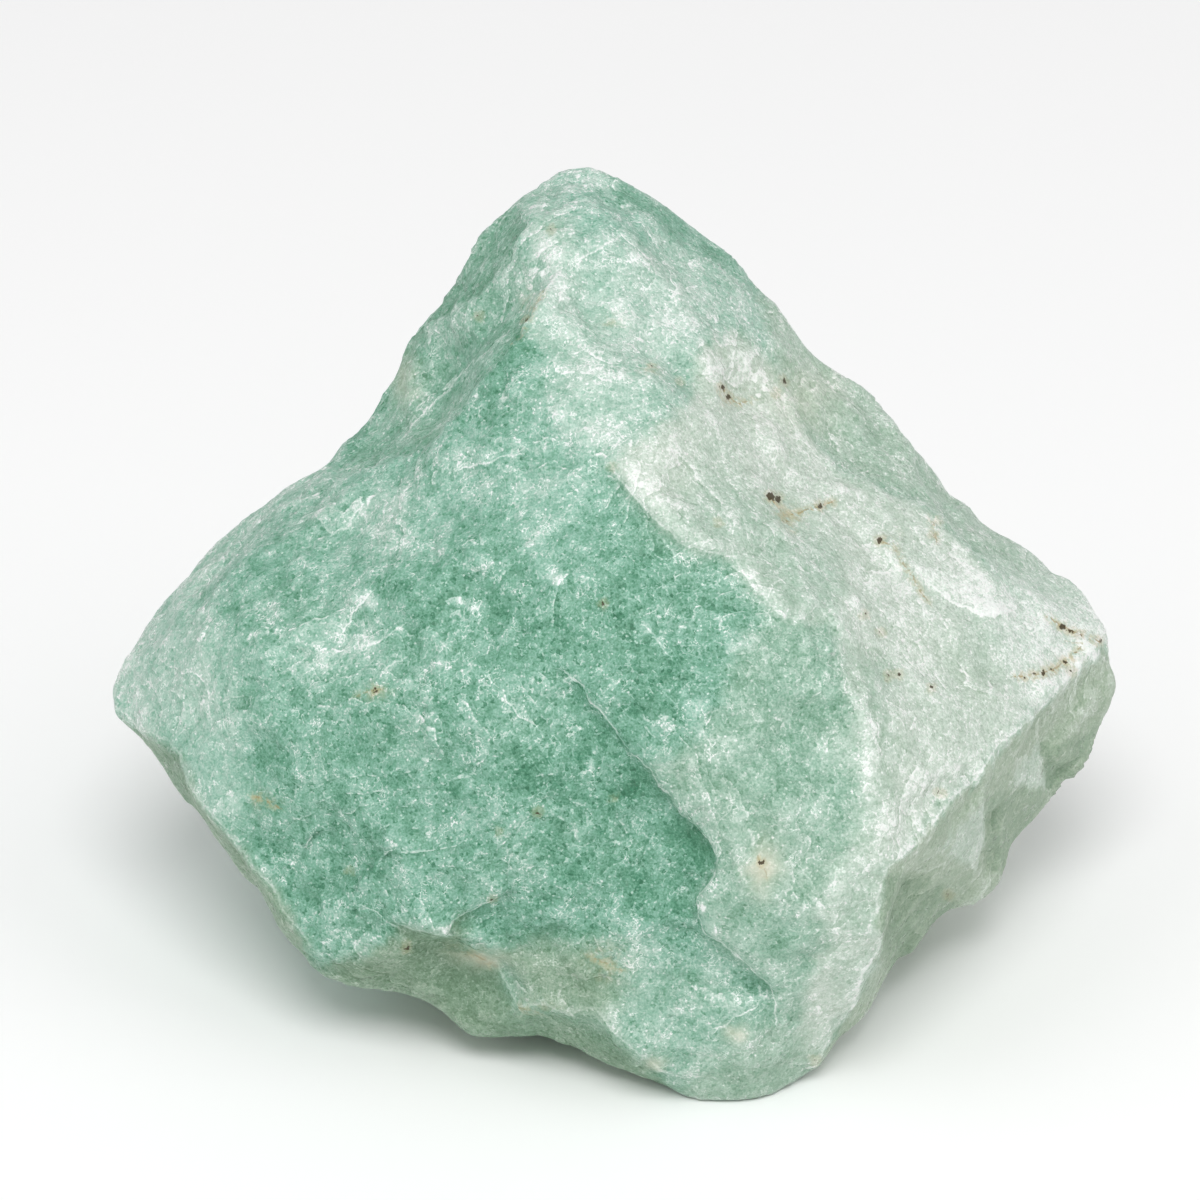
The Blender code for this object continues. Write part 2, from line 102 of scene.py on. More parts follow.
# Fracture ledges of the face, as sighted: height, how far the raised side reaches, how
# strong the painted highlight on its lip and the painted light and shade beside it are, and
# its line, which runs with the raised side on its left.
LEDGES = [
    (0.27, 2.5, 1.0, [(-3.1, -2.0), (-2.1, -2.8), (-1.2, -3.9), (-0.3, -5.1), (0.6, -6.5),
                      (2.2, -7.9), (2.8, -9.0), (3.6, -9.8), (4.2, -10.7), (5.4, -11.9),
                      (6.0, -12.8), (6.3, -13.6), (6.1, -14.6), (5.1, -16.2), (5.1, -17.3),
                      (5.5, -18.3), (7.2, -19.1), (8.3, -20.1), (9.4, -21.2), (10.0, -22.3),
                      (10.0, -23.8)]),
    (0.26, 2.5, 0.6, [(-0.3, 10.9), (1.4, 8.8), (2.9, 7.1), (4.8, 5.8), (7.4, 5.2),
                      (8.4, 3.6), (10.2, 1.8), (11.5, 1.2), (12.6, 2.0), (13.7, 0.9)]),
    (0.30, 2.5, 0.9, [(-13.2, -17.8), (-11.6, -18.3), (-10.5, -18.5), (-10.2, -17.7),
                      (-9.4, -17.0), (-7.4, -16.0)]),
    (0.05, 2.0, 0.20, [(14.9, -4.0), (15.6, -6.6), (15.4, -8.6), (15.9, -10.4),
                      (14.6, -11.8), (14.5, -13.4), (13.0, -15.8), (12.8, -17.4),
                      (13.5, -19.0), (12.2, -20.5)]),
    (0.70, 2.2, 0.6, [(-3.7, 22.5), (-4.4, 21.3), (-4.9, 20.2), (-5.7, 18.8), (-6.5, 17.8),
                      (-8.0, 16.6), (-8.6, 16.0), (-9.6, 14.2), (-11.1, 12.4),
                      (-14.6, 10.9), (-17.1, 10.1)]),
    (0.35, 1.6, 0.5, [(-5.6, 26.2), (-5.4, 25.7), (-6.2, 24.4), (-6.4, 23.6), (-7.5, 22.6),
                      (-8.5, 21.6), (-9.9, 20.6), (-11.5, 19.7)]),
    (0.18, 0.9, 1.0, [(-6.8, 19.4), (-9.0, 17.4), (-10.9, 15.9), (-12.4, 14.7)]),
    (0.14, 0.8, 1.0, [(-9.5, 17.0), (-11.4, 14.9), (-13.4, 12.9)]),
    (0.16, 1.6, 0.9, [(-9.4, 10.7), (-7.7, 11.1), (-5.8, 11.7)]),
    (0.18, 1.8, 0.7, [(-18.4, 7.4), (-17.6, 6.5), (-16.5, 7.1), (-15.9, 7.9)]),
    (0.16, 1.4, 1.0, [(-16.9, 0.6), (-16.3, 1.7), (-15.3, 2.8)]),
    (0.14, 1.4, 0.8, [(-15.3, -0.4), (-13.9, 0.3), (-13.3, 0.8)]),
    (0.12, 1.2, 0.7, [(-14.1, -1.8), (-13.3, -1.2)]),
    (0.14, 1.2, 0.9, [(6.5, -24.3), (7.6, -23.6), (8.9, -23.0)]),
    (0.22, 2.0, 0.4, [(24.9, 2.6), (23.5, 4.8), (22.5, 5.6), (21.7, 6.8), (20.8, 7.8),
                      (19.1, 8.6), (17.8, 8.8), (15.6, 10.0), (14.1, 10.7), (12.9, 11.8),
                      (11.6, 13.7), (11.0, 15.6), (10.4, 16.8)]),
    (0.16, 1.2, 1.0, [(19.9, 3.3), (21.0, 2.3), (22.3, 1.8), (23.6, 1.4), (24.8, 1.8)]),
    (0.10, 1.0, 0.8, [(-7.0, -3.8), (-6.0, -4.6), (-5.1, -5.3)]),
    (0.10, 1.0, 0.8, [(1.8, 0.8), (2.6, 0.0), (3.3, -0.8)]),
    (0.28, 1.6, 0.6, [(26.9, -9.3), (26.7, -7.8), (26.5, -6.3)]),
    (0.34, 2.2, 0.7, [(22.8, -13.6), (23.1, -12.0), (23.1, -10.0)]),
    (0.12, 1.2, 0.8, [(-2.0, 23.9), (-0.9, 24.4), (0.2, 25.1)]),
]

# Sharp ridges of the face, as sighted: height, width, how strong the painted highlight on
# its lip and the painted light and shade beside it are, and its line, which runs with the
# lighter side on its left.
RIDGES = [
    (0.40, 0.6, 0.7, [(12.4, -26.4), (13.4, -24.3), (14.6, -22.9), (15.4, -20.5), (16.3, -19.1),
                      (16.5, -17.6), (16.3, -15.9), (16.8, -14.1), (18.3, -12.9), (19.2, -12.2),
                      (20.3, -10.5), (21.5, -9.2), (22.4, -8.6), (23.8, -6.6), (25.7, -5.0),
                      (27.4, -3.1), (29.0, -1.4), (30.1, -0.2), (30.7, 0.8)]),
    (0.40, 0.7, 0.6, [(-3.7, 22.5), (-4.4, 21.3), (-4.9, 20.2), (-5.7, 18.8), (-6.5, 17.8)]),
    (0.25, 0.7, 0.6, [(-30.9, -4.2), (-29.7, -5.4), (-27.8, -6.3), (-27.0, -7.1), (-26.6, -8.7),
                      (-25.8, -10.1), (-24.5, -11.4), (-23.7, -12.5), (-22.7, -13.8),
                      (-21.3, -15.3), (-20.6, -16.9), (-19.4, -18.1), (-18.8, -19.1)]),
    (0.25, 0.7, 0.6, [(-9.4, -19.1), (-7.4, -19.8), (-5.9, -22.8), (-4.3, -22.6), (-2.8, -23.2),
                      (-1.2, -22.8), (-0.1, -24.2), (1.6, -25.7), (2.8, -26.7)]),
]

# Small pushes that correct the sighted outline, each with its place as sighted and its
# distance, more than 0 outwards. They reach this far, over this share of the turn.
RIM_REACH = 2.1
RIM_BAND = 0.7
RIM_PUSHES = [
    (22.8, 7.4, -0.65), (20.0, 10.3, 0.30), (16.4, 14.9, 0.50), (7.6, 23.6, 0.45),
    (2.8, 27.3, 0.35), (-3.1, 29.4, 0.30), (-8.3, 25.4, 0.45), (-18.4, 10.6, -0.75),
    (-25.2, 5.4, 0.45), (-31.3, -3.3, 0.30), (-25.4, -11.3, -0.55), (-23.7, -13.6, -0.55),
    (-20.5, -18.4, 0.40), (-15.8, -21.6, 0.30), (2.9, -27.7, -0.30), (22.5, -16.3, 0.85),
    (27.6, -10.4, 0.40), (29.2, -7.6, 0.50), (31.3, -3.3, 0.50),
]

# Colour zones of the face, as sighted: name, softness of the edge, how milky it is, how
# far it leans to warm sage, how mottled and rough it is, and its outline. A later zone
# lies over the earlier ones.
ZONES = [
    ("left edge", 1.8, 0.90, 0.20, 0.5, [
        (-33, -2), (-28.5, 4.5), (-22, 9.5), (-19, 12), (-18, 10.5), (-21.5, 7.0),
        (-26.5, 1.5), (-28.0, -3), (-29, -6)]),
    ("left face", 3.0, 0.39, 0.05, 1.05, [
        (-28, 1), (-20, 9), (-15, 7), (-14, 1), (-18, -5), (-25, -7)]),
    ("left lobe", 1.2, 0.62, 0.10, 0.6, [
        (-30.5, -3.0), (-27.5, -6.2), (-25.8, -9.8), (-23.5, -11.8), (-22.0, -9.5),
        (-24.0, -5.0), (-23.5, 0.0), (-27.0, 2.5)]),
    ("shoulder", 1.5, 0.52, 0.05, 0.95, [
        (-19.5, 10.5), (-13.5, 10.2), (-9, 10), (-10, 5.5), (-16, 4), (-21.5, 5.5)]),
    ("under the crest", 1.5, 0.50, 0.0, 1.0, [
        (-8, 12), (-3.5, 15), (-2, 11), (0, 7), (-3, 4), (-8, 6), (-10, 9)]),
    ("scoop", 0.3, 0.45, 0.15, 0.9, [
        (-6.2, 24.4), (-7.5, 22.6), (-9.9, 20.6), (-13.4, 16.2), (-17.1, 10.6),
        (-14.6, 11.0), (-11.1, 12.4), (-9.6, 14.2), (-8.6, 16.0), (-6.5, 17.8),
        (-4.9, 20.2), (-4.4, 21.3), (-4.6, 23.1)]),
    ("left underside", 0.3, 0.24, 0.85, 0.45, [
        (-34.1, -3.2), (-29.7, -5.4), (-27.0, -7.1), (-25.8, -10.1), (-23.7, -12.5),
        (-21.3, -15.3), (-19.4, -18.1), (-18.6, -20.6), (-20.9, -24.2), (-29.1, -15.8),
        (-34.1, -6.2)]),
    ("bottom strip", 0.4, 0.14, 0.85, 0.5, [
        (-13.2, -17.8), (-10.5, -18.4), (-9.4, -17.2), (-9.4, -19.1), (-7.4, -19.8),
        (-5.9, -22.8), (-2.8, -23.2), (-0.1, -24.2), (2.8, -26.7), (5.4, -31.4),
        (-8.4, -28.6), (-19.6, -23.6), (-18.6, -20.6), (-14.6, -19.1)]),
    ("foot of the face", 1.2, 0.53, 0.20, 0.9, [
        (-5.9, -19.5), (-5.9, -22.8), (-2.8, -23.2), (-0.1, -24.2), (2.8, -26.7),
        (5.4, -31.4), (10.0, -29.0), (10.0, -24.0), (7.0, -20.5), (2.0, -19.0)]),
    ("upper face", 1.2, 0.70, 0.20, 0.7, [
        (-5.9, 26.6), (-3.4, 32.0), (1.6, 32.0), (7.6, 25.9), (9.8, 21.9), (11.6, 17.5),
        (10.1, 17.2), (7.6, 19.4), (5.4, 18.4), (4.8, 15.0), (2.2, 13.1), (-0.1, 10.9),
        (-2.2, 12.5), (-3.9, 16.2), (-4.4, 20.0), (-5.2, 23.1)]),
    ("lower right", 0.6, 0.47, 0.35, 0.8, [
        (2.2, -7.9), (3.6, -9.8), (5.4, -11.9), (6.3, -13.6), (5.1, -16.2), (6.2, -18.7),
        (9.4, -21.2), (10.0, -23.8), (9.8, -31.4), (12.4, -29.4), (12.2, -20.5),
        (13.6, -18.8), (13.0, -15.8), (14.7, -13.1), (16.1, -10.4), (15.4, -9.1),
        (15.7, -6.6), (14.9, -4.1), (13.7, 0.9), (10.2, 1.8), (7.9, 0.0), (6.6, -3.8),
        (4.8, -6.2)]),
    ("pale right", 0.45, 0.80, 0.80, 0.35, [
        (-0.1, 10.9), (1.4, 8.8), (2.9, 7.1), (4.8, 5.8), (7.4, 5.2), (8.4, 3.6),
        (10.2, 1.8), (11.6, 1.2), (13.7, 0.9), (14.9, -4.1), (15.7, -6.6), (15.4, -9.1),
        (16.1, -10.4), (14.7, -13.1), (13.0, -15.8), (13.6, -18.8), (12.2, -20.5),
        (11.8, -23.1), (10.8, -26.4), (12.4, -26.4), (14.6, -22.9), (16.5, -19.1),
        (16.8, -14.1), (18.3, -12.9), (20.3, -10.5), (22.4, -8.6), (25.7, -5.0),
        (29.0, -1.4), (32.0, 0.8), (24.9, 2.6), (22.5, 5.6), (19.1, 8.6), (14.1, 10.7),
        (11.6, 13.7), (10.1, 17.2), (7.6, 19.4), (5.4, 18.4), (4.8, 15.0), (2.2, 13.1)]),
    ("step", 1.2, 0.62, 0.55, 0.5, [
        (4.0, 9.0), (5.5, 11.0), (10.5, 8.5), (14.0, 5.0), (14.0, 1.2), (10.2, 1.8),
        (8.4, 3.6), (7.4, 5.2), (4.8, 5.8), (2.9, 7.1)]),
    ("outer band", 0.3, 0.60, 0.60, 0.6, [
        (7.6, 26.8), (13.0, 22.0), (16.1, 18.9), (19.9, 15.8), (23.6, 12.0),
        (26.8, 8.2), (31.1, 6.4), (32.0, 0.8), (24.9, 2.6), (22.5, 5.6), (19.1, 8.6),
        (14.1, 10.7), (11.6, 13.7), (10.1, 17.2)]),
    # The shaded side is drawn darker than the pale right: its sage tone is the quartz's own, and part of
    # its darkness is painted shade.
    ("shaded side", 0.15, 0.49, 1.0, 0.25, [
        (33.6, 1.2), (35.6, -7.5), (28.1, -19.5), (17.4, -29.0), (12.4, -29.4),
        (12.4, -26.4), (14.6, -22.9), (16.5, -19.1), (16.8, -14.1), (18.3, -12.9),
        (20.3, -10.5), (22.4, -8.6), (25.7, -5.0), (29.0, -1.4)]),
    ("pale edge", 1.0, 0.62, 0.6, 0.5, [
        (14.9, -1.0), (17.0, -1.0), (17.6, -9.0), (16.0, -13.5), (16.4, -18.0), (15.4, -21.5),
        (13.8, -22.0), (13.2, -19.0), (12.6, -15.8), (14.5, -12.5), (15.6, -9.5),
        (15.2, -5.0)]),
    ("apex", 1.0, 0.52, 0.0, 0.9, [
        (-4.0, 31.0), (3.0, 31.0), (4.5, 27.5), (2.0, 24.8), (-2.0, 25.0), (-4.0, 27.0)]),
    ("top flank", 0.5, 0.40, 0.10, 0.9, [
        (-0.6, 29.5), (5.0, 27.0), (7.5, 25.5), (9.5, 21.5), (7.3, 22.6), (5.2, 23.8),
        (2.6, 25.9), (-0.8, 27.5)]),
    ("foot shade", 0.8, 0.27, 0.8, 0.7, [
        (-7.0, -19.5), (-5.5, -22.6), (-2.8, -23.2), (-0.3, -24.0), (0.5, -21.5),
        (-1.0, -19.3), (-4.5, -18.6)]),
    ("dark flank", 0.25, 0.28, 0.15, 0.8, [
        (-5.5, 26.4), (-5.5, 25.8), (-6.3, 23.8), (-7.3, 22.5), (-8.6, 20.9), (-9.9, 19.6),
        (-11.8, 18.3), (-14.0, 18.5), (-10.0, 25.0), (-7.5, 27.5)]),
    ("crest face", 0.3, 0.60, 0.25, 0.6, [
        (-5.6, 25.8), (-4.2, 23.6), (-3.7, 22.5), (-4.4, 21.3), (-4.9, 20.2), (-5.7, 18.8),
        (-3.5, 17.6), (-2.0, 19.0), (-2.0, 23.0), (-3.0, 26.4)]),
    # The three hollows of the shaded side are drawn darker still: their extra darkness is painted shade
    # in these recesses.
    ("upper hollow", 0.2, 0.30, 1.0, 0.2, [
        (26.6, -6.5), (28.2, -6.3), (32.8, -4.2), (28.9, -10.8), (26.9, -9.6)]),
    ("middle hollow", 0.2, 0.32, 1.0, 0.2, [
        (23.2, -10.1), (25.1, -9.1), (26.6, -9.0), (27.1, -11.2), (25.6, -14.8),
        (23.2, -14.8), (23.1, -12.2)]),
    ("lower hollow", 0.3, 0.26, 1.0, 0.2, [
        (16.6, -14.8), (18.8, -14.6), (20.6, -15.4), (21.9, -16.9), (19.6, -19.5),
        (17.5, -21.3), (16.4, -19.2), (16.3, -17.2)]),
    ("upper wedge", 0.15, 0.68, 0.8, 0.3, [
        (26.5, -6.3), (26.8, -9.0), (25.8, -9.2), (24.8, -9.0), (25.2, -7.8)]),
    ("lower wedge", 0.15, 0.66, 0.8, 0.3, [
        (23.2, -9.9), (23.2, -13.0), (22.4, -14.1), (20.4, -13.2), (20.9, -12.2)]),
    ("corner", 1.2, 0.90, 0.60, 0.3, [
        (22.0, 2.5), (26.0, 4.0), (32.0, 2.0), (30.8, 0.4), (27.4, -2.6), (25.5, -3.0)]),
    ("tip", 1.0, 0.50, 0.55, 0.6, [
        (5.4, -26.5), (9.5, -24.0), (12.0, -24.5), (12.6, -28.0), (10.0, -32.0),
        (3.0, -30.0)]),
]
# How milky, warm and mottled the stone is where no zone lies.
OPEN_MILK = 0.285
OPEN_WARMTH = 0.0
OPEN_BUSY = 1.15

# Soft oval patches that are whiter, deeper green, cream or rusty: place as sighted, half
# width and half height, and strength.
FROSTED = [
    (-9.3, 11.7, 1.2, 1.9, 0.9), (-14.0, 9.1, 1.8, 1.0, 0.6), (-16.8, -0.9, 3.0, 1.5, 1.0),
    (-0.2, -23.4, 0.9, 0.9, 0.7), (-1.5, 28.4, 1.4, 0.8, 0.8), (-10.3, -11.2, 3.2, 2.6, 0.3),
    (-3.8, 22.5, 1.0, 3.0, 0.5), (3.0, 19.5, 2.2, 1.2, 0.4), (22.0, 3.5, 3.5, 2.0, 0.3),
    (-3.7, 4.0, 0.4, 0.5, 2.0), (1.6, 0.8, 0.4, 0.35, 1.6), (-9.0, 2.2, 0.5, 0.35, 1.4),
    (-15.4, 2.6, 0.5, 0.4, 1.6), (-10.4, -18.1, 0.4, 0.4, 1.4), (-1.4, -7.8, 0.35, 0.4, 1.4),
    (19.5, 3.5, 3.0, 1.5, 0.3), (13.5, -7.2, 2.0, 1.1, 0.8),
]
DEEP = [
    (22.9, -1.4, 1.6, 2.0, 0.8), (12.2, -3.4, 1.0, 1.0, 0.6),
    (-6.6, 18.4, 1.0, 1.6, 1.0), (-7.9, 16.8, 1.2, 0.8, 0.8),
    (-9.8, 15.4, 1.6, 1.2, 0.5), (-14.6, 12.2, 1.8, 0.7, 0.6),
    (-1.0, 3.0, 4.5, 3.5, 0.5), (1.0, -2.5, 3.5, 4.5, 0.7), (-2.5, -9.5, 5.0, 4.0, 0.6),
    (4.0, -13.5, 2.0, 3.5, 0.85), (1.5, -13.5, 2.5, 2.5, 0.75), (12.0, -5.5, 2.5, 3.5, 0.5),
    (2.6, 6.0, 2.2, 2.0, 0.7), (-10.0, 3.5, 3.0, 2.5, 0.4), (-21.2, -8.8, 3.4, 2.8, 0.35),
    (-27.0, -6.0, 1.5, 2.0, 0.4), (-12.5, 13.2, 1.6, 1.2, 0.7), (-7.0, 21.5, 1.2, 1.4, 0.5),
]
CREAM = [
    (11.8, 15.2, 2.5, 2.0, 0.35), (-8.1, -19.8, 1.5, 0.5, 0.8), (-13.1, 16.3, 0.8, 1.8, 0.5),
    (9.3, -14.2, 0.9, 1.5, 1.0), (7.7, -24.6, 0.6, 0.5, 0.8), (2.6, -26.4, 0.6, 0.5, 0.7),
]
RUST = [
    (-0.5, -20.0, 1.3, 1.2, 0.8), (-4.7, -22.9, 1.6, 0.5, 0.6), (10.9, 7.8, 0.9, 0.8, 0.9),
    (7.4, 15.1, 0.9, 0.6, 0.6), (2.1, 17.0, 0.6, 0.5, 0.7), (-0.3, 19.9, 0.8, 0.5, 0.6),
    (-5.3, 20.3, 0.5, 1.3, 0.8), (-14.9, -3.2, 0.8, 0.5, 0.8), (-22.0, -10.0, 0.8, 0.5, 0.8),
    (17.6, 6.3, 0.8, 0.6, 0.4), (28.0, -1.6, 1.6, 0.5, 0.5), (-9.0, -19.4, 1.2, 0.5, 0.6),
]

# Iron stains as sighted: dark specks with their size, from 0.7 for a pin point to 1.0,
# and thin brown seams with their strength.
SPECK_SPREAD = 0.52
SPECKS = [
    (-3.9, 25.6, 0.80), (-8.4, 20.2, 0.82), (-5.6, 20.1, 0.85), (-0.2, 19.9, 0.74),
    (2.3, 17.1, 0.80), (4.1, 16.2, 0.74), (6.7, 15.8, 0.88), (7.1, 15.2, 0.90),
    (10.1, 15.4, 0.76), (10.7, 16.2, 0.86), (-0.1, 10.9, 0.78), (-0.7, 2.4, 0.86),
    (6.5, 7.4, 0.80), (9.7, 9.0, 1.00), (10.2, 8.8, 0.95), (10.6, 8.2, 0.80),
    (12.9, 8.4, 0.84), (13.7, 8.6, 0.78), (16.6, 6.2, 0.92), (15.6, 1.6, 0.82),
    (16.7, 0.5, 0.78), (17.1, -2.2, 0.82), (17.8, -2.1, 0.84), (19.8, -3.0, 0.80),
    (20.2, 7.4, 0.78), (19.9, 6.6, 0.76), (28.2, -1.4, 0.84), (28.3, -2.0, 0.80),
    (28.1, 0.8, 0.90), (28.6, 0.5, 0.84), (29.1, 0.3, 0.84), (30.1, -0.2, 0.80),
    (25.6, -2.3, 0.80), (26.2, -2.2, 0.84), (26.8, -2.1, 0.84), (27.3, -1.9, 0.82),
    (20.3, -9.5, 0.84), (20.7, -15.8, 0.80), (-14.9, -3.1, 0.88), (-4.8, -10.7, 0.88),
    (-7.6, -16.1, 0.86), (-7.2, -11.9, 0.76), (-0.1, -9.8, 0.74), (9.2, -13.8, 0.90),
    (-13.0, -19.2, 0.90), (12.4, -26.1, 0.80), (-22.3, -9.8, 0.78), (-16.6, -14.4, 0.74),
]
# How far a seam's stain reaches to each side, and past its ends.
SEAM_SPREAD = 0.8
SEAM_END = 0.3
SEAMS = [
    (1.0, [(-4.4, 21.6), (-5.0, 20.0), (-6.0, 18.4)]),
    (0.9, [(6.7, 15.8), (7.2, 15.1), (7.8, 14.8), (8.6, 15.0)]),
    (1.0, [(9.7, 8.9), (10.6, 7.8), (11.6, 8.0), (13.6, 8.6)]),
    (0.7, [(10.8, 7.6), (11.2, 6.9)]),
    (0.8, [(16.6, 6.2), (17.6, 5.8), (18.1, 4.8), (18.9, 3.6), (19.7, 2.4)]),
    (0.7, [(19.8, 7.6), (20.2, 6.2)]),
    (1.0, [(25.0, -2.3), (26.4, -2.2), (27.4, -1.9), (28.4, -1.2), (29.0, -0.6)]),
    (1.0, [(27.2, 1.4), (28.1, 0.8), (29.1, 0.3), (30.1, -0.3)]),
    (0.9, [(-22.5, -9.7), (-21.8, -10.0), (-21.0, -10.4)]),
    (0.6, [(-9.0, -19.4), (-7.6, -20.2)]),
    (0.6, [(-1.6, -19.6), (0.6, -20.6)]),
    (0.5, [(-5.8, -22.8), (-5.0, -23.0)]),
    (0.6, [(9.0, -13.4), (9.5, -14.6)]),
    (0.5, [(-16.2, -3.4), (-14.6, -3.0)]),
]

# Colours of the quartz by whiteness, from the deepest to white, in linear light: the green
# body and the greyer, warmer quartz of the right side.
DEEPEST = -0.25
GREEN_QUARTZ = [
    (DEEPEST, (0.030, 0.165, 0.085)),
    (0.00, (0.072, 0.258, 0.152)),
    (0.25, (0.168, 0.390, 0.274)),
    (0.45, (0.272, 0.497, 0.392)),
    (0.65, (0.430, 0.620, 0.525)),
    (0.85, (0.630, 0.755, 0.685)),
    (1.00, (0.900, 0.945, 0.920)),
]
SAGE_QUARTZ = [
    (DEEPEST, (0.080, 0.158, 0.078)),
    (0.00, (0.148, 0.248, 0.146)),
    (0.25, (0.262, 0.370, 0.258)),
    (0.45, (0.372, 0.470, 0.350)),
    (0.65, (0.500, 0.588, 0.488)),
    (0.85, (0.655, 0.732, 0.648)),
    (1.00, (0.880, 0.910, 0.870)),
]

# Soft noise in the quartz: width, detail, roughness, and where it is read from.
BIG_CLOUD = (5.0, 2.0, 0.55, (0.0, 0.0, 0.0))
CLOUD = (2.2, 2.0, 0.50, (31.0, 7.0, 3.0))
WISPS = (0.50, 2.0, 0.60, (3.0, 17.0, 9.0))
THREADS = (0.33, 1.0, 0.50, (5.0, 2.0, 41.0))
SUGAR = (0.13, 1.0, 0.50, (11.0, 23.0, 5.0))
# Widths of the crystal grains, how steeply the fine ones tilt and bulge, and how far apart
# stray specks may lie.
COARSE_GRAIN = 0.46
FINE_GRAIN = 0.21
GRAIN_SLOPE = 0.42
GRAIN_DOME = 0.03
STRAY_WIDTH = 2.6
# How strongly each kind of terrace lights up.
TERRACE_LIGHT = (("shelf", 1.0), ("flake", 0.6))
# What the mesh carries at each point for the material.
MARKS = (
    "milk", "warmth", "busy", "frost", "deep", "cream", "rust", "specks", "stain", "stained",
    "sharp", "ledge", "lip", "shelf", "flake", "hidden",
)

# Colours of the patches and iron stains, in linear light.
CREAM_TINT = (0.78, 0.74, 0.60)
RUST_TINT = (0.40, 0.36, 0.18)
SEAM_STAIN = (0.55, 0.48, 0.26)
SEAM_BROWN = (0.33, 0.25, 0.09)
SPECK_HALO = (0.50, 0.35, 0.12)
SPECK_BLACK = (0.048, 0.032, 0.007)
# How light enters the stone: refraction, the share that glows through, and how far red,
# green and blue of it reach.
QUARTZ_IOR = 1.54
GLOW = 0.22
GLOW_REACH = (1.0, 1.2, 1.1)

# The studio, in metres and watts: each light's name, place, width and power, the point that
# they are aimed at, the light from all round, and half the floor's width.
LIGHTS = (
    ("key", (0.0, -0.45, 0.75), 0.45, 3.9),
    ("right", (0.55, -0.20, 0.65), 0.6, 1.0),
    ("left", (-0.55, -0.20, 0.65), 0.6, 0.8),
)
LIT_MIDDLE = (0, 0, 0.02)
WORLD_LIGHT = 0.47
FLOOR_HALF = 3.0


def sighted_to_rest():
    """Turns right, up and towards the viewer into right, back and up at rest."""
    rise, level = math.sin(VIEW_RISE), math.cos(VIEW_RISE)
    return Matrix(((1, 0, 0), (0, rise, -level), (0, level, rise)))


def regrid(piece, size):
    """Rebuilds the piece's surface on an even grid."""
    grid = piece.modifiers.new("grid", "REMESH")
    grid.mode = "VOXEL"
    grid.voxel_size = size
    graph = bpy.context.evaluated_depsgraph_get()
    mesh = bpy.data.meshes.new_from_object(piece.evaluated_get(graph))
    piece.modifiers.clear()
    piece.data = mesh


def positions(mesh):
    points = np.empty(len(mesh.vertices) * 3)
    mesh.vertices.foreach_get("co", points)
    return points.reshape(-1, 3)


def outward(mesh):
    """The direction straight out of the surface at each point."""
    directions = np.empty(len(mesh.vertices) * 3)
    mesh.vertices.foreach_get("normal", directions)
    return directions.reshape(-1, 3)


def move_to(mesh, points):
    mesh.vertices.foreach_set("co", points.ravel())
    mesh.update()


class Neighbours:
    """Averages a value over the points that an edge joins to each point."""

    def __init__(self, mesh):
        edges = np.empty(len(mesh.edges) * 2, dtype=np.int64)
        mesh.edges.foreach_get("vertices", edges)
        edges = edges.reshape(-1, 2)
        self.ends = np.concatenate([edges[:, 0], edges[:, 1]])
        self.others = np.concatenate([edges[:, 1], edges[:, 0]])
        self.count = np.bincount(self.ends)

    def average(self, values):
        return np.bincount(self.ends, weights=values[self.others]) / self.count

    def smoothed(self, values, passes, amounts=(1.0,)):
        columns = values.reshape(len(values), -1).copy()
        for _ in range(passes):
            for amount in amounts:
                for column in range(columns.shape[1]):
                    mean = self.average(columns[:, column])
                    columns[:, column] += amount * (mean - columns[:, column])
        return columns.reshape(values.shape)


class NearestLine:
    """Keeps, for each point, which side of the nearest drawn line it is on and that line's strength."""

    def __init__(self, count):
        self.gap = np.full(count, FAR)
        self.beside = np.zeros(count)
        self.strength = np.zeros(count)

    def offer(self, gap, beside, strength):
        closer = gap < self.gap
        self.gap[closer] = gap[closer]
        self.beside[closer] = beside[closer]
        self.strength[closer] = strength[closer]


def as_sighted(points):
    """Points at rest as they are sighted: right, up and towards the viewer."""
    seen = (points - np.array(FACE_MIDDLE)) @ np.array(sighted_to_rest())
    seen[:, :2] *= (SIGHT / (SIGHT - seen[:, 2]))[:, None]
    return seen


def facing_viewer(directions):
    return directions @ np.array(sighted_to_rest())[:, 2]


def beside_line(seen, line):
    """Distance from a drawn line, more than 0 on its left, and how far past its ends."""
    near = np.full(len(seen), FAR)
    signed = np.zeros(len(seen))
    past = np.zeros(len(seen))
    last = len(line) - 2
    for number, (start, end) in enumerate(zip(line, line[1:])):
        along = np.subtract(end, start)
        length = np.linalg.norm(along)
        along = along / length
        offset = seen - start
        travel = offset @ along
        to_left = along[0] * offset[:, 1] - along[1] * offset[:, 0]
        nearest = np.clip(travel, 0, length)[:, None] * along
        gap = np.linalg.norm(offset - nearest, axis=1)
        before = -travel if number == 0 else np.zeros(len(seen))
        beyond = travel - length if number == last else np.zeros(len(seen))
        closer = gap < near
        near[closer] = gap[closer]
        signed[closer] = (np.sign(to_left) * gap)[closer]
        past[closer] = np.maximum(np.maximum(before, beyond), 0)[closer]
    return signed, past


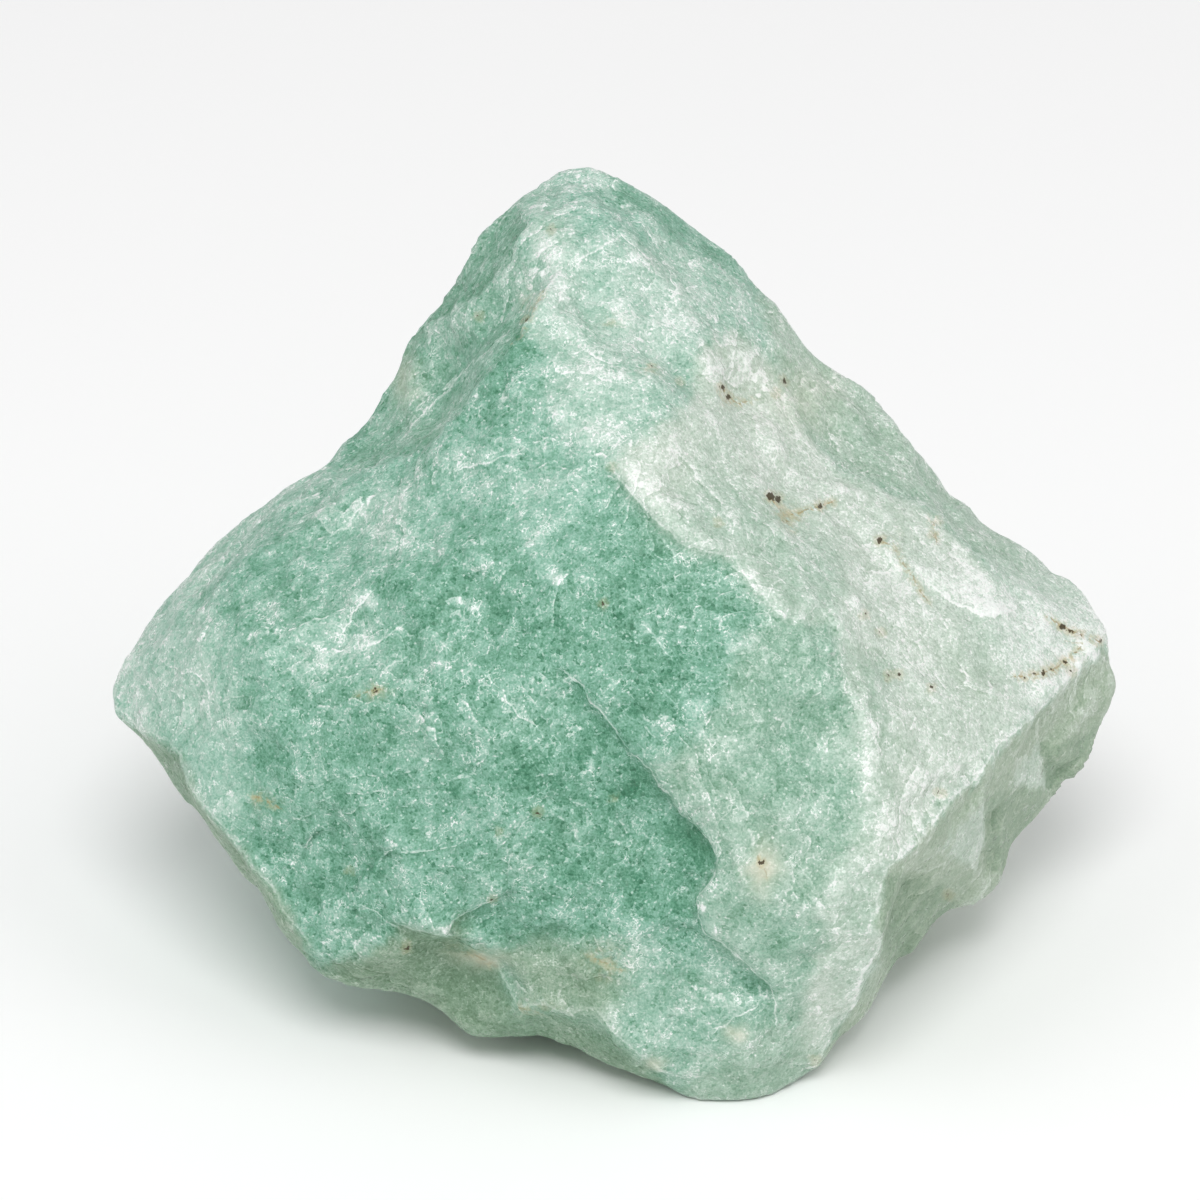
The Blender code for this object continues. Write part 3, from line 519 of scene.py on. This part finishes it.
def depth_inside(seen, outline):
    """How far each point lies inside a drawn outline, less than 0 outside."""
    near = np.full(len(seen), FAR)
    inside = np.zeros(len(seen), dtype=bool)
    for start, end in zip(outline, outline[1:] + outline[:1]):
        start, end = np.array(start, dtype=float), np.array(end, dtype=float)
        along = end - start
        offset = seen - start
        travel = np.clip(offset @ along / (along @ along), 0, 1)
        near = np.minimum(near, np.linalg.norm(offset - travel[:, None] * along, axis=1))
        crosses = (start[1] > seen[:, 1]) != (end[1] > seen[:, 1])
        rise = along[1] if along[1] else 1.0
        meets = start[0] + along[0] * (seen[:, 1] - start[1]) / rise
        inside ^= crosses & (seen[:, 0] < meets)
    return np.where(inside, near, -near)


def ease(values):
    """A smooth step from 0 to 1 about 0."""
    return 1 / (1 + np.exp(-np.clip(values, -EASE_LIMIT, EASE_LIMIT)))


def bell(gap, width):
    """1 at no distance, falling smoothly to nearly 0 at twice the width."""
    return np.exp(-(gap / width) ** 2)


def blobs(seen, patches):
    """Soft oval patches, the strongest at each point."""
    strength = np.zeros(len(seen))
    for right, up, half_width, half_height, amount in patches:
        spread = ((seen[:, 0] - right) / half_width) ** 2 + ((seen[:, 1] - up) / half_height) ** 2
        strength = np.maximum(strength, amount * np.exp(-spread))
    return strength


def chip_rise(place):
    """How far small planes, terraces and grit raise a place, and its level on each terrace."""
    rise = 0.0
    levels = []
    for width, slope, step in CHIP_PLANES:
        cell = place / width
        bent = cell + PLANE_BEND * noise.noise_vector(cell / BEND_WIDTH)
        middle = noise.voronoi(bent)[1][0]
        tilt = noise.cell_vector(middle * PLANE_SHUFFLE) - Vector((0.5, 0.5, 0.5))
        rise += slope * width * tilt.dot(bent - middle)
        rise += step * (noise.cell(middle * STEP_SHUFFLE) - 0.5)
    for width, steps, height in TERRACES:
        swell = noise.noise(place / width) + TERRACE_WANDER * noise.noise(place / TERRACE_WANDER_WIDTH)
        level = swell * steps
        part = level - math.floor(level)
        edge = min(1.0, part / TERRACE_EDGE)
        rise += height * (math.floor(level) + edge - level)
        levels.append(level)
    for width, height in GRIT:
        rise += height * noise.noise(place / width)
    return rise, *levels


def relief_share(busy, facing):
    """How much of the small relief shows: less where the stone is calm and along its outline."""
    inner = np.clip(np.abs(facing) / OUTLINE_BAND, 0, 1)
    return (CALM_RELIEF + BUSY_RELIEF * busy) * (OUTLINE_RELIEF + (1 - OUTLINE_RELIEF) * inner)


def drawn_relief(seen, share, wander):
    """Rise of the drawn ledges and ridges, and each point's place beside the nearest."""
    rise = np.zeros(len(seen))
    nearest = NearestLine(len(seen))
    for height, reach, bright, line in LEDGES:
        signed, past = beside_line(seen[:, :2], line)
        beside = signed + LEDGE_WANDER * wander
        end = bell(past, LINE_END) * share
        rise += height * (ease(beside / LEDGE_EDGE) - 0.5) * bell(beside, reach) * end
        nearest.offer(np.abs(signed) + past, beside, bright * end)
    for height, width, bright, line in RIDGES:
        signed, past = beside_line(seen[:, :2], line)
        gap = np.abs(signed) + past
        rise += height * np.exp(-gap / width) * share
        nearest.offer(gap, signed, bright * bell(past, LINE_END) * share)
    return rise, nearest


def rim_relief(seen, facing):
    """Rise of the small pushes that correct the sighted outline."""
    rise = np.zeros(len(seen))
    rim = np.clip(1 - np.abs(facing) / RIM_BAND, 0, 1)
    for right, up, push in RIM_PUSHES:
        gap = np.hypot(seen[:, 0] - right, seen[:, 1] - up)
        rise += push * bell(gap, RIM_REACH) * rim
    return rise


def colour_marks(seen, share, wander):
    """Milkiness, warmth and mottling of each point, and its share of each kind of patch."""
    milk = np.full(len(seen), OPEN_MILK)
    warmth = np.full(len(seen), OPEN_WARMTH)
    busy = np.full(len(seen), OPEN_BUSY)
    bent = seen[:, :2] + wander[:, None] * np.array(ZONE_WANDER)
    for _, soft, milkiness, warm, mottled, outline in ZONES:
        inside = ease(depth_inside(bent, outline) / soft * 2)
        milk += inside * (milkiness - milk)
        warmth += inside * (warm - warmth)
        busy += inside * (mottled - busy)
    return {
        "milk": milk,
        "warmth": warmth,
        "busy": busy,
        "frost": blobs(bent, FROSTED) * share,
        "deep": blobs(bent, DEEP) * share,
        "cream": blobs(bent, CREAM) * share,
        "rust": blobs(bent, RUST) * share,
    }


def stain_marks(seen, share):
    """Closeness to each speck, and the distance from the nearest seam with its strength."""
    specks = np.zeros(len(seen))
    for right, up, size in SPECKS:
        gap = np.hypot(seen[:, 0] - right, seen[:, 1] - up)
        specks = np.maximum(specks, size * bell(gap, SPECK_SPREAD))
    nearest = NearestLine(len(seen))
    for strength, line in SEAMS:
        signed, past = beside_line(seen[:, :2], line)
        nearest.offer(np.hypot(signed, past), signed, strength * bell(past, SEAM_END))
    stained = nearest.strength * (nearest.gap < SEAM_SPREAD)
    return {
        "specks": specks * share,
        "stain": np.clip(nearest.beside, -MARK_SPAN, MARK_SPAN),
        "stained": stained * share,
    }


def sharpness(around, points, directions):
    """How far each point stands out from the surface around it."""
    out = points - around.smoothed(points, SHARP_PASSES)
    return around.smoothed(np.einsum("ij,ij->i", out, directions), 1)


def work_surface(mesh):
    """Breaks the solid's facets into a sugary surface and notes what its material reads."""
    noise.seed_set(NOISE_SEED)
    around = Neighbours(mesh)
    points = around.smoothed(positions(mesh), FACET_PASSES, (SMOOTH_IN, SMOOTH_OUT))
    move_to(mesh, points)
    directions = outward(mesh)
    seen = as_sighted(points)
    facing = around.smoothed(facing_viewer(directions), FACING_PASSES)
    share = np.clip(facing / SHARE_BAND + EDGE_SHARE, 0, 1)
    wander = np.array([noise.noise(Vector(point) / WANDER_WIDTH) for point in points])

    marks = colour_marks(seen, share, wander)
    marks.update(stain_marks(seen, share))
    chips, marks["shelf"], marks["flake"] = np.array([chip_rise(Vector(point)) for point in points]).T
    drawn, nearest = drawn_relief(seen, share, wander)
    rise = chips * relief_share(marks["busy"], facing) + drawn + rim_relief(seen, facing)
    points = points + directions * rise[:, None]
    points[:, 2] = np.maximum(points[:, 2], 0.0)
    move_to(mesh, points)

    marks["sharp"] = sharpness(around, points, outward(mesh))
    marks["ledge"] = np.clip(nearest.beside, -MARK_SPAN, MARK_SPAN)
    # Strength of the painted highlight on the nearest lip and of the painted light and shade beside it.
    marks["lip"] = nearest.strength
    marks["hidden"] = 1 - share
    return marks


def note(mesh, name, values):
    """Keeps a value at each point of the mesh for the material to read."""
    layer = mesh.attributes.new(name, "FLOAT", "POINT")
    layer.data.foreach_set("value", np.asarray(values, dtype=np.float32))


def weld(mesh):
    """Joins the corners that the solid's faces share."""
    joined = bmesh.new()
    joined.from_mesh(mesh)
    bmesh.ops.remove_doubles(joined, verts=joined.verts, dist=WELD)
    joined.to_mesh(mesh)
    joined.free()


def make_stone():
    piece = bpy.data.objects.new("stone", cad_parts[NODE].data.copy())
    bpy.context.scene.collection.objects.link(piece)
    piece.data.transform(Matrix.Scale(1 / MM, 4))
    weld(piece.data)
    regrid(piece, GRID)
    mesh = piece.data
    for name, values in work_surface(mesh).items():
        note(mesh, name, values)
    mesh.transform(Matrix.Scale(MM, 4))
    mesh.shade_smooth()
    mesh.materials.clear()
    mesh.materials.append(aventurine())
    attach(piece, "root")
    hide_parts(NODE)
    print("stone:", len(mesh.polygons), "faces")


class Value:
    """A shader socket that Python arithmetic works on, by adding Math nodes."""

    def __init__(self, recipe, socket):
        self.recipe = recipe
        self.socket = socket

    def __add__(self, other):
        return self.recipe.math("ADD", self, other)

    def __radd__(self, other):
        return self.recipe.math("ADD", other, self)

    def __sub__(self, other):
        return self.recipe.math("SUBTRACT", self, other)

    def __rsub__(self, other):
        return self.recipe.math("SUBTRACT", other, self)

    def __mul__(self, other):
        return self.recipe.math("MULTIPLY", self, other)

    def __rmul__(self, other):
        return self.recipe.math("MULTIPLY", other, self)


class Recipe:
    """A material whose nodes are added by type, settings and socket values."""

    def __init__(self, name):
        self.material = bpy.data.materials.new(name)
        self.material.use_nodes = True
        self.tree = self.material.node_tree
        self.surface = self.tree.nodes["Principled BSDF"]

    def node(self, kind, settings, sockets):
        node = self.tree.nodes.new(kind)
        for name, setting in settings.items():
            if name == "stops":
                self.set_stops(node.color_ramp, setting)
            else:
                setattr(node, name, setting)
        for name, value in sockets.items():
            self.feed(node.inputs[name], value)
        return node

    def set_stops(self, ramp, stops):
        while len(ramp.elements) < len(stops):
            ramp.elements.new(1.0)
        for element, (place, colour) in zip(ramp.elements, stops):
            element.position = place
            element.color = (*colour, 1.0)

    def feed(self, socket, value):
        if isinstance(value, Value):
            self.tree.links.new(value.socket, socket)
        else:
            socket.default_value = value

    def out(self, node, name):
        return Value(self, node.outputs[name])

    def math(self, operation, *values):
        node = self.node("ShaderNodeMath", {"operation": operation}, dict(enumerate(values)))
        return self.out(node, "Value")

    def larger(self, first, second):
        return self.math("MAXIMUM", first, second)

    def between(self, value, low, high):
        """0 below low and 1 above high, with a smooth step between them."""
        sockets = {"Value": value, "From Min": low, "From Max": high}
        node = self.node("ShaderNodeMapRange", {"interpolation_type": "SMOOTHSTEP"}, sockets)
        return self.out(node, "Result")

    def mark(self, name):
        """A value that the mesh carries at each point."""
        return self.out(self.node("ShaderNodeAttribute", {"attribute_name": name}, {}), "Fac")

    def vector(self, operation, *values):
        settings = {"operation": operation}
        node = self.node("ShaderNodeVectorMath", settings, dict(enumerate(values)))
        return self.out(node, "Vector")

    def scaled(self, vector, amount):
        sockets = {"Vector": vector, "Scale": amount}
        return self.out(self.node("ShaderNodeVectorMath", {"operation": "SCALE"}, sockets), "Vector")

    def cloud(self, place, width, detail, roughness, shift):
        """Soft noise about 0, with features of the given width."""
        place = self.vector("ADD", place, shift)
        sockets = {"Vector": place, "Scale": 1 / width, "Detail": detail, "Roughness": roughness}
        return self.out(self.node("ShaderNodeTexNoise", {}, sockets), "Fac") - 0.5

    def mix(self, amount, first, second):
        settings = {"data_type": "RGBA", "clamp_factor": True}
        node = self.node("ShaderNodeMix", settings, {0: amount, 6: first, 7: second})
        return self.out(node, 2)

    def tint(self, amount, under, colour):
        return self.mix(amount, under, (*colour, 1.0))


class Grains:
    """Crystal grains of one width: the reach from each grain's middle and its random values."""

    def __init__(self, recipe, place, width):
        settings = {"feature": "F1"}
        cells = recipe.node("ShaderNodeTexVoronoi", settings, {"Vector": place, "Scale": 1 / width})
        self.reach = recipe.out(cells, "Distance")
        self.middle = recipe.out(cells, "Position")
        self.colour = recipe.out(cells, "Color")
        parts = recipe.node("ShaderNodeSeparateColor", {}, {"Color": self.colour})
        self.random = [recipe.out(parts, name) for name in ("Red", "Green", "Blue")]


class Quartz:
    """What each part of the finish reads: the place, the mesh's marks, soft noise and grains."""

    def __init__(self, recipe):
        texture = recipe.node("ShaderNodeTexCoord", {}, {})
        self.recipe = recipe
        self.place = recipe.scaled(recipe.out(texture, "Object"), 1 / MM)
        self.marks = {name: recipe.mark(name) for name in MARKS}
        self.big_cloud = recipe.cloud(self.place, *BIG_CLOUD)
        self.cloud = recipe.cloud(self.place, *CLOUD)
        self.wisps = recipe.cloud(self.place, *WISPS)
        self.threads = recipe.cloud(self.place, *THREADS)
        self.sugar = recipe.cloud(self.place, *SUGAR)
        self.coarse = Grains(recipe, self.place, COARSE_GRAIN)
        self.fine = Grains(recipe, self.place, FINE_GRAIN)


# In the finish below a plain factor says how much a part whitens, darkens or tints the quartz,
# and each pair of limits is the range of noise, or of distance, over which the part shows.
def body_whiteness(quartz):
    """Whiteness of the open quartz: how milky it is, clouds, patches, salt and a painted highlight on
    sharp edges.
    """
    marks, lively = quartz.marks, quartz.marks["busy"]
    clouds = quartz.big_cloud * (lively * 0.20 + 0.06)
    clouds = clouds + (quartz.cloud * 0.74 + quartz.wisps * 0.26) * lively
    patches = marks["frost"] * 0.30 - marks["deep"] * 0.16
    salt = (quartz.coarse.random[0] - 0.5) * 0.12 + (quartz.fine.random[0] - 0.5) * 0.14
    salt = (salt + quartz.sugar * 0.62) * (lively * 0.4 + 0.7)
    # Sharp, standing-out edges get a painted highlight.
    edges = quartz.recipe.between(marks["sharp"], 0.010, 0.045) * 0.10
    return marks["milk"] + clouds + patches + salt + edges


def ledge_light(quartz):
    """The painted highlight on the lip of the drawn ledges and ridges, and the painted light above and
    painted shade below it.
    """
    recipe, strength = quartz.recipe, quartz.marks["lip"]
    ledge = quartz.marks["ledge"] + quartz.wisps * 0.35
    raised = recipe.between(ledge, -0.04, 0.06)
    lip = strength * raised * (1 - recipe.between(ledge, 0.05, 0.20))
    below = strength * (1 - raised) * recipe.between(ledge, -1.8, -0.05)
    above = strength * raised * (1 - recipe.between(ledge, 0.3, 2.2))
    return lip, (above - below) * 0.04


def terrace_light(quartz, level, strength):
    """The painted highlight on the lip of one kind of terrace, and the painted light and shade between
    its steps.
    """
    recipe = quartz.recipe
    part = recipe.math("FRACT", quartz.marks[level] + quartz.wisps * 0.12)
    shown = recipe.between(quartz.big_cloud + quartz.wisps * 0.3, -0.02, 0.04) * strength
    top = recipe.between(part, 0.0, 0.02) * (1 - recipe.between(part, 0.04, 0.12))
    slope = 1 - recipe.between(part, 0.05, 0.45)
    foot = recipe.between(part, 0.80, 1.0)
    lip = top * shown * recipe.between(quartz.wisps, -0.01, 0.06) * 0.8
    return lip, shown * (slope * 0.07 - foot * 0.10)


def white_flecks_and_glints(quartz):
    """Short white strokes, the junctions between grains, and single white grains: partly white fractures
    in the quartz and partly painted glints.
    """
    recipe, coarse, fine = quartz.recipe, quartz.coarse, quartz.fine
    patchy = recipe.between(quartz.cloud + quartz.wisps * 0.5, -0.05, 0.12)
    stroke = 1 - recipe.between(recipe.math("ABSOLUTE", quartz.threads), 0.012, 0.042)
    stroke = stroke * recipe.between(coarse.random[1], 0.50, 0.80) * (0.30 + patchy * 0.70)
    junction = recipe.between(fine.reach, 0.66, 0.84) * recipe.between(coarse.random[0], 0.35, 0.7)
    grain = recipe.between(fine.random[2], 0.90, 0.96) * (1 - recipe.between(fine.reach, 0.30, 0.48))
    return recipe.larger(recipe.larger(stroke, junction * 0.75), grain * 0.8)


def quartz_whiteness(quartz):
    """Whiteness with the painted light, shade and highlights of the ledges and terraces, the flecks with
    their painted glints, and dark pits in it.
    """
    recipe, lively = quartz.recipe, quartz.marks["busy"]
    lip, light = ledge_light(quartz)
    whiteness = body_whiteness(quartz) + light
    for level, strength in TERRACE_LIGHT:
        terrace_lip, light = terrace_light(quartz, level, strength)
        whiteness = whiteness + light
        lip = recipe.larger(lip, terrace_lip)
    # Flecks with their painted glints, and the painted highlights on ledge and terrace lips.
    fleck_and_highlight = recipe.larger(white_flecks_and_glints(quartz), lip)
    pit = recipe.between(quartz.fine.random[1], 0.86, 0.92) * (1 - fleck_and_highlight)
    return whiteness - 0.03 + fleck_and_highlight * (0.18 + lively * 0.27) - pit * lively * 0.20


def quartz_colour(recipe, whiteness, colours):
    """The quartz's colour at a whiteness from DEEPEST to 1."""
    span = 1.0 - DEEPEST
    stops = [((place - DEEPEST) / span, colour) for place, colour in colours]
    level = (whiteness - DEEPEST) * (1 / span)
    return recipe.out(recipe.node("ShaderNodeValToRGB", {"stops": stops}, {"Fac": level}), "Color")


def body_colour(quartz):
    """Green or sage quartz, with its cream and rusty patches."""
    recipe, marks = quartz.recipe, quartz.marks
    whiteness = quartz_whiteness(quartz)
    green = quartz_colour(recipe, whiteness, GREEN_QUARTZ)
    sage = quartz_colour(recipe, whiteness, SAGE_QUARTZ)
    colour = recipe.mix(marks["warmth"] + quartz.big_cloud * 0.3, green, sage)
    colour = recipe.tint(marks["cream"] * 0.7, colour, CREAM_TINT)
    rust = marks["rust"] * recipe.between(quartz.wisps + quartz.cloud * 0.5, -0.15, 0.15)
    return recipe.tint(rust * 0.5, colour, RUST_TINT)


def with_seams(quartz, colour):
    """Thin brown seams in a broken line, with a yellow stain beside them."""
    recipe, stained = quartz.recipe, quartz.marks["stained"]
    wisps, threads = quartz.wisps, quartz.threads
    gap = recipe.math("ABSOLUTE", quartz.marks["stain"] + wisps * 0.30 + threads * 0.15)
    halo = stained * (1 - recipe.between(gap, 0.05, 0.45)) * recipe.between(wisps + threads, -0.10, 0.10)
    line = stained * (1 - recipe.between(gap, 0.03, 0.08))
    line = line * recipe.between(quartz.coarse.random[2] + threads, 0.45, 0.60)
    colour = recipe.tint(halo * 0.42, colour, SEAM_STAIN)
    return recipe.tint(line * 0.65, colour, SEAM_BROWN)


def stray_specks(quartz):
    """Scattered specks where the drawn ones end, on the sides turned from the viewer."""
    recipe = quartz.recipe
    cells = Grains(recipe, quartz.place, STRAY_WIDTH)
    speck = 1 - recipe.between(cells.reach + quartz.wisps * 0.1, 0.03, 0.06)
    return speck * recipe.between(cells.random[0], 0.86, 0.9) * quartz.marks["hidden"]


def dark_specks(quartz):
    """The dark iron specks, and the faint halo around the drawn ones."""
    recipe, closeness = quartz.recipe, quartz.marks["specks"]
    ragged = quartz.wisps + quartz.threads
    speck = recipe.between(closeness + ragged * 0.26 + quartz.sugar * 0.22, 0.755, 0.80)
    halo = recipe.between(closeness + ragged * 0.5, 0.30, 0.70)
    return recipe.larger(speck, stray_specks(quartz)), halo


def grain_tilt(recipe, place, grains):
    """Height of small flat crystal faces, each tilted its own way."""
    tilt = recipe.vector("SUBTRACT", grains.colour, (0.5, 0.5, 0.5))
    offset = recipe.vector("SUBTRACT", place, grains.middle)
    node = recipe.node("ShaderNodeVectorMath", {"operation": "DOT_PRODUCT"}, {0: offset, 1: tilt})
    return recipe.out(node, "Value")


def aventurine():
    """Sugary green quartzite: milky clouds, crystal grains, white flecks and iron stains."""
    recipe = Recipe("green aventurine")
    quartz = Quartz(recipe)
    coarse, fine = quartz.coarse, quartz.fine

    speck, halo = dark_specks(quartz)
    colour = with_seams(quartz, body_colour(quartz))
    colour = recipe.tint(halo * 0.20, colour, SPECK_HALO)
    colour = recipe.tint(speck * 0.94, colour, SPECK_BLACK)

    height = grain_tilt(recipe, quartz.place, fine) * GRAIN_SLOPE - fine.reach * GRAIN_DOME
    bump = recipe.node("ShaderNodeBump", {}, {"Strength": 1.0, "Distance": MM, "Height": height})
    glint = recipe.between(coarse.random[2], 0.90, 0.92)
    roughness = 0.52 - glint * 0.30 + (fine.random[1] - 0.5) * 0.12 + speck * 0.2

    surface = recipe.surface
    recipe.feed(surface.inputs["Base Color"], colour)
    recipe.feed(surface.inputs["Roughness"], roughness)
    recipe.feed(surface.inputs["Normal"], recipe.out(bump, "Normal"))
    surface.inputs["IOR"].default_value = QUARTZ_IOR
    surface.inputs["Subsurface Weight"].default_value = GLOW
    surface.inputs["Subsurface Radius"].default_value = GLOW_REACH
    surface.inputs["Subsurface Scale"].default_value = 1.0 * MM
    return recipe.material


def plain_material(name, colour, roughness):
    recipe = Recipe(name)
    recipe.surface.inputs["Base Color"].default_value = (*colour, 1.0)
    recipe.surface.inputs["Roughness"].default_value = roughness
    return recipe.material


def make_floor():
    mesh = bpy.data.meshes.new("floor")
    half = FLOOR_HALF
    corners = [(-half, -half, 0), (half, -half, 0), (half, half, 0), (-half, half, 0)]
    mesh.from_pydata(corners, [], [(0, 1, 2, 3)])
    floor = bpy.data.objects.new("floor", mesh)
    bpy.context.scene.collection.objects.link(floor)
    floor.data.materials.append(plain_material("pale floor", (0.97, 0.97, 0.97), 0.9))


def aim(thing, place, target):
    thing.location = place
    thing.rotation_euler = (Vector(target) - Vector(place)).to_track_quat("-Z", "Y").to_euler()


def make_light(name, place, size, power):
    light = bpy.data.lights.new(name, "AREA")
    light.shape = "DISK"
    light.size = size
    light.energy = power
    thing = bpy.data.objects.new(name, light)
    bpy.context.scene.collection.objects.link(thing)
    aim(thing, place, LIT_MIDDLE)


def make_world():
    world = bpy.data.worlds.new("studio")
    world.use_nodes = True
    background = world.node_tree.nodes["Background"]
    background.inputs["Color"].default_value = (1, 1, 1, 1)
    background.inputs["Strength"].default_value = WORLD_LIGHT
    bpy.context.scene.world = world


def make_camera():
    """The photograph's view: a long lens, 30 degrees above the surface."""
    camera = bpy.data.cameras.new("camera")
    camera.lens = 200.0
    camera.sensor_width = 36.0
    camera.clip_start = 0.01
    thing = bpy.data.objects.new("camera", camera)
    bpy.context.scene.collection.objects.link(thing)
    turn = sighted_to_rest()
    target = (FACE_MIDDLE + turn @ PICTURE_MIDDLE) * MM
    place = target + turn @ Vector((0, 0, SIGHT * MM))
    aim(thing, place, target)
    bpy.context.scene.camera = thing


make_camera()
for light in LIGHTS:
    make_light(*light)
make_world()
make_floor()
make_stone()
bpy.context.scene.view_settings.view_transform = "Standard"
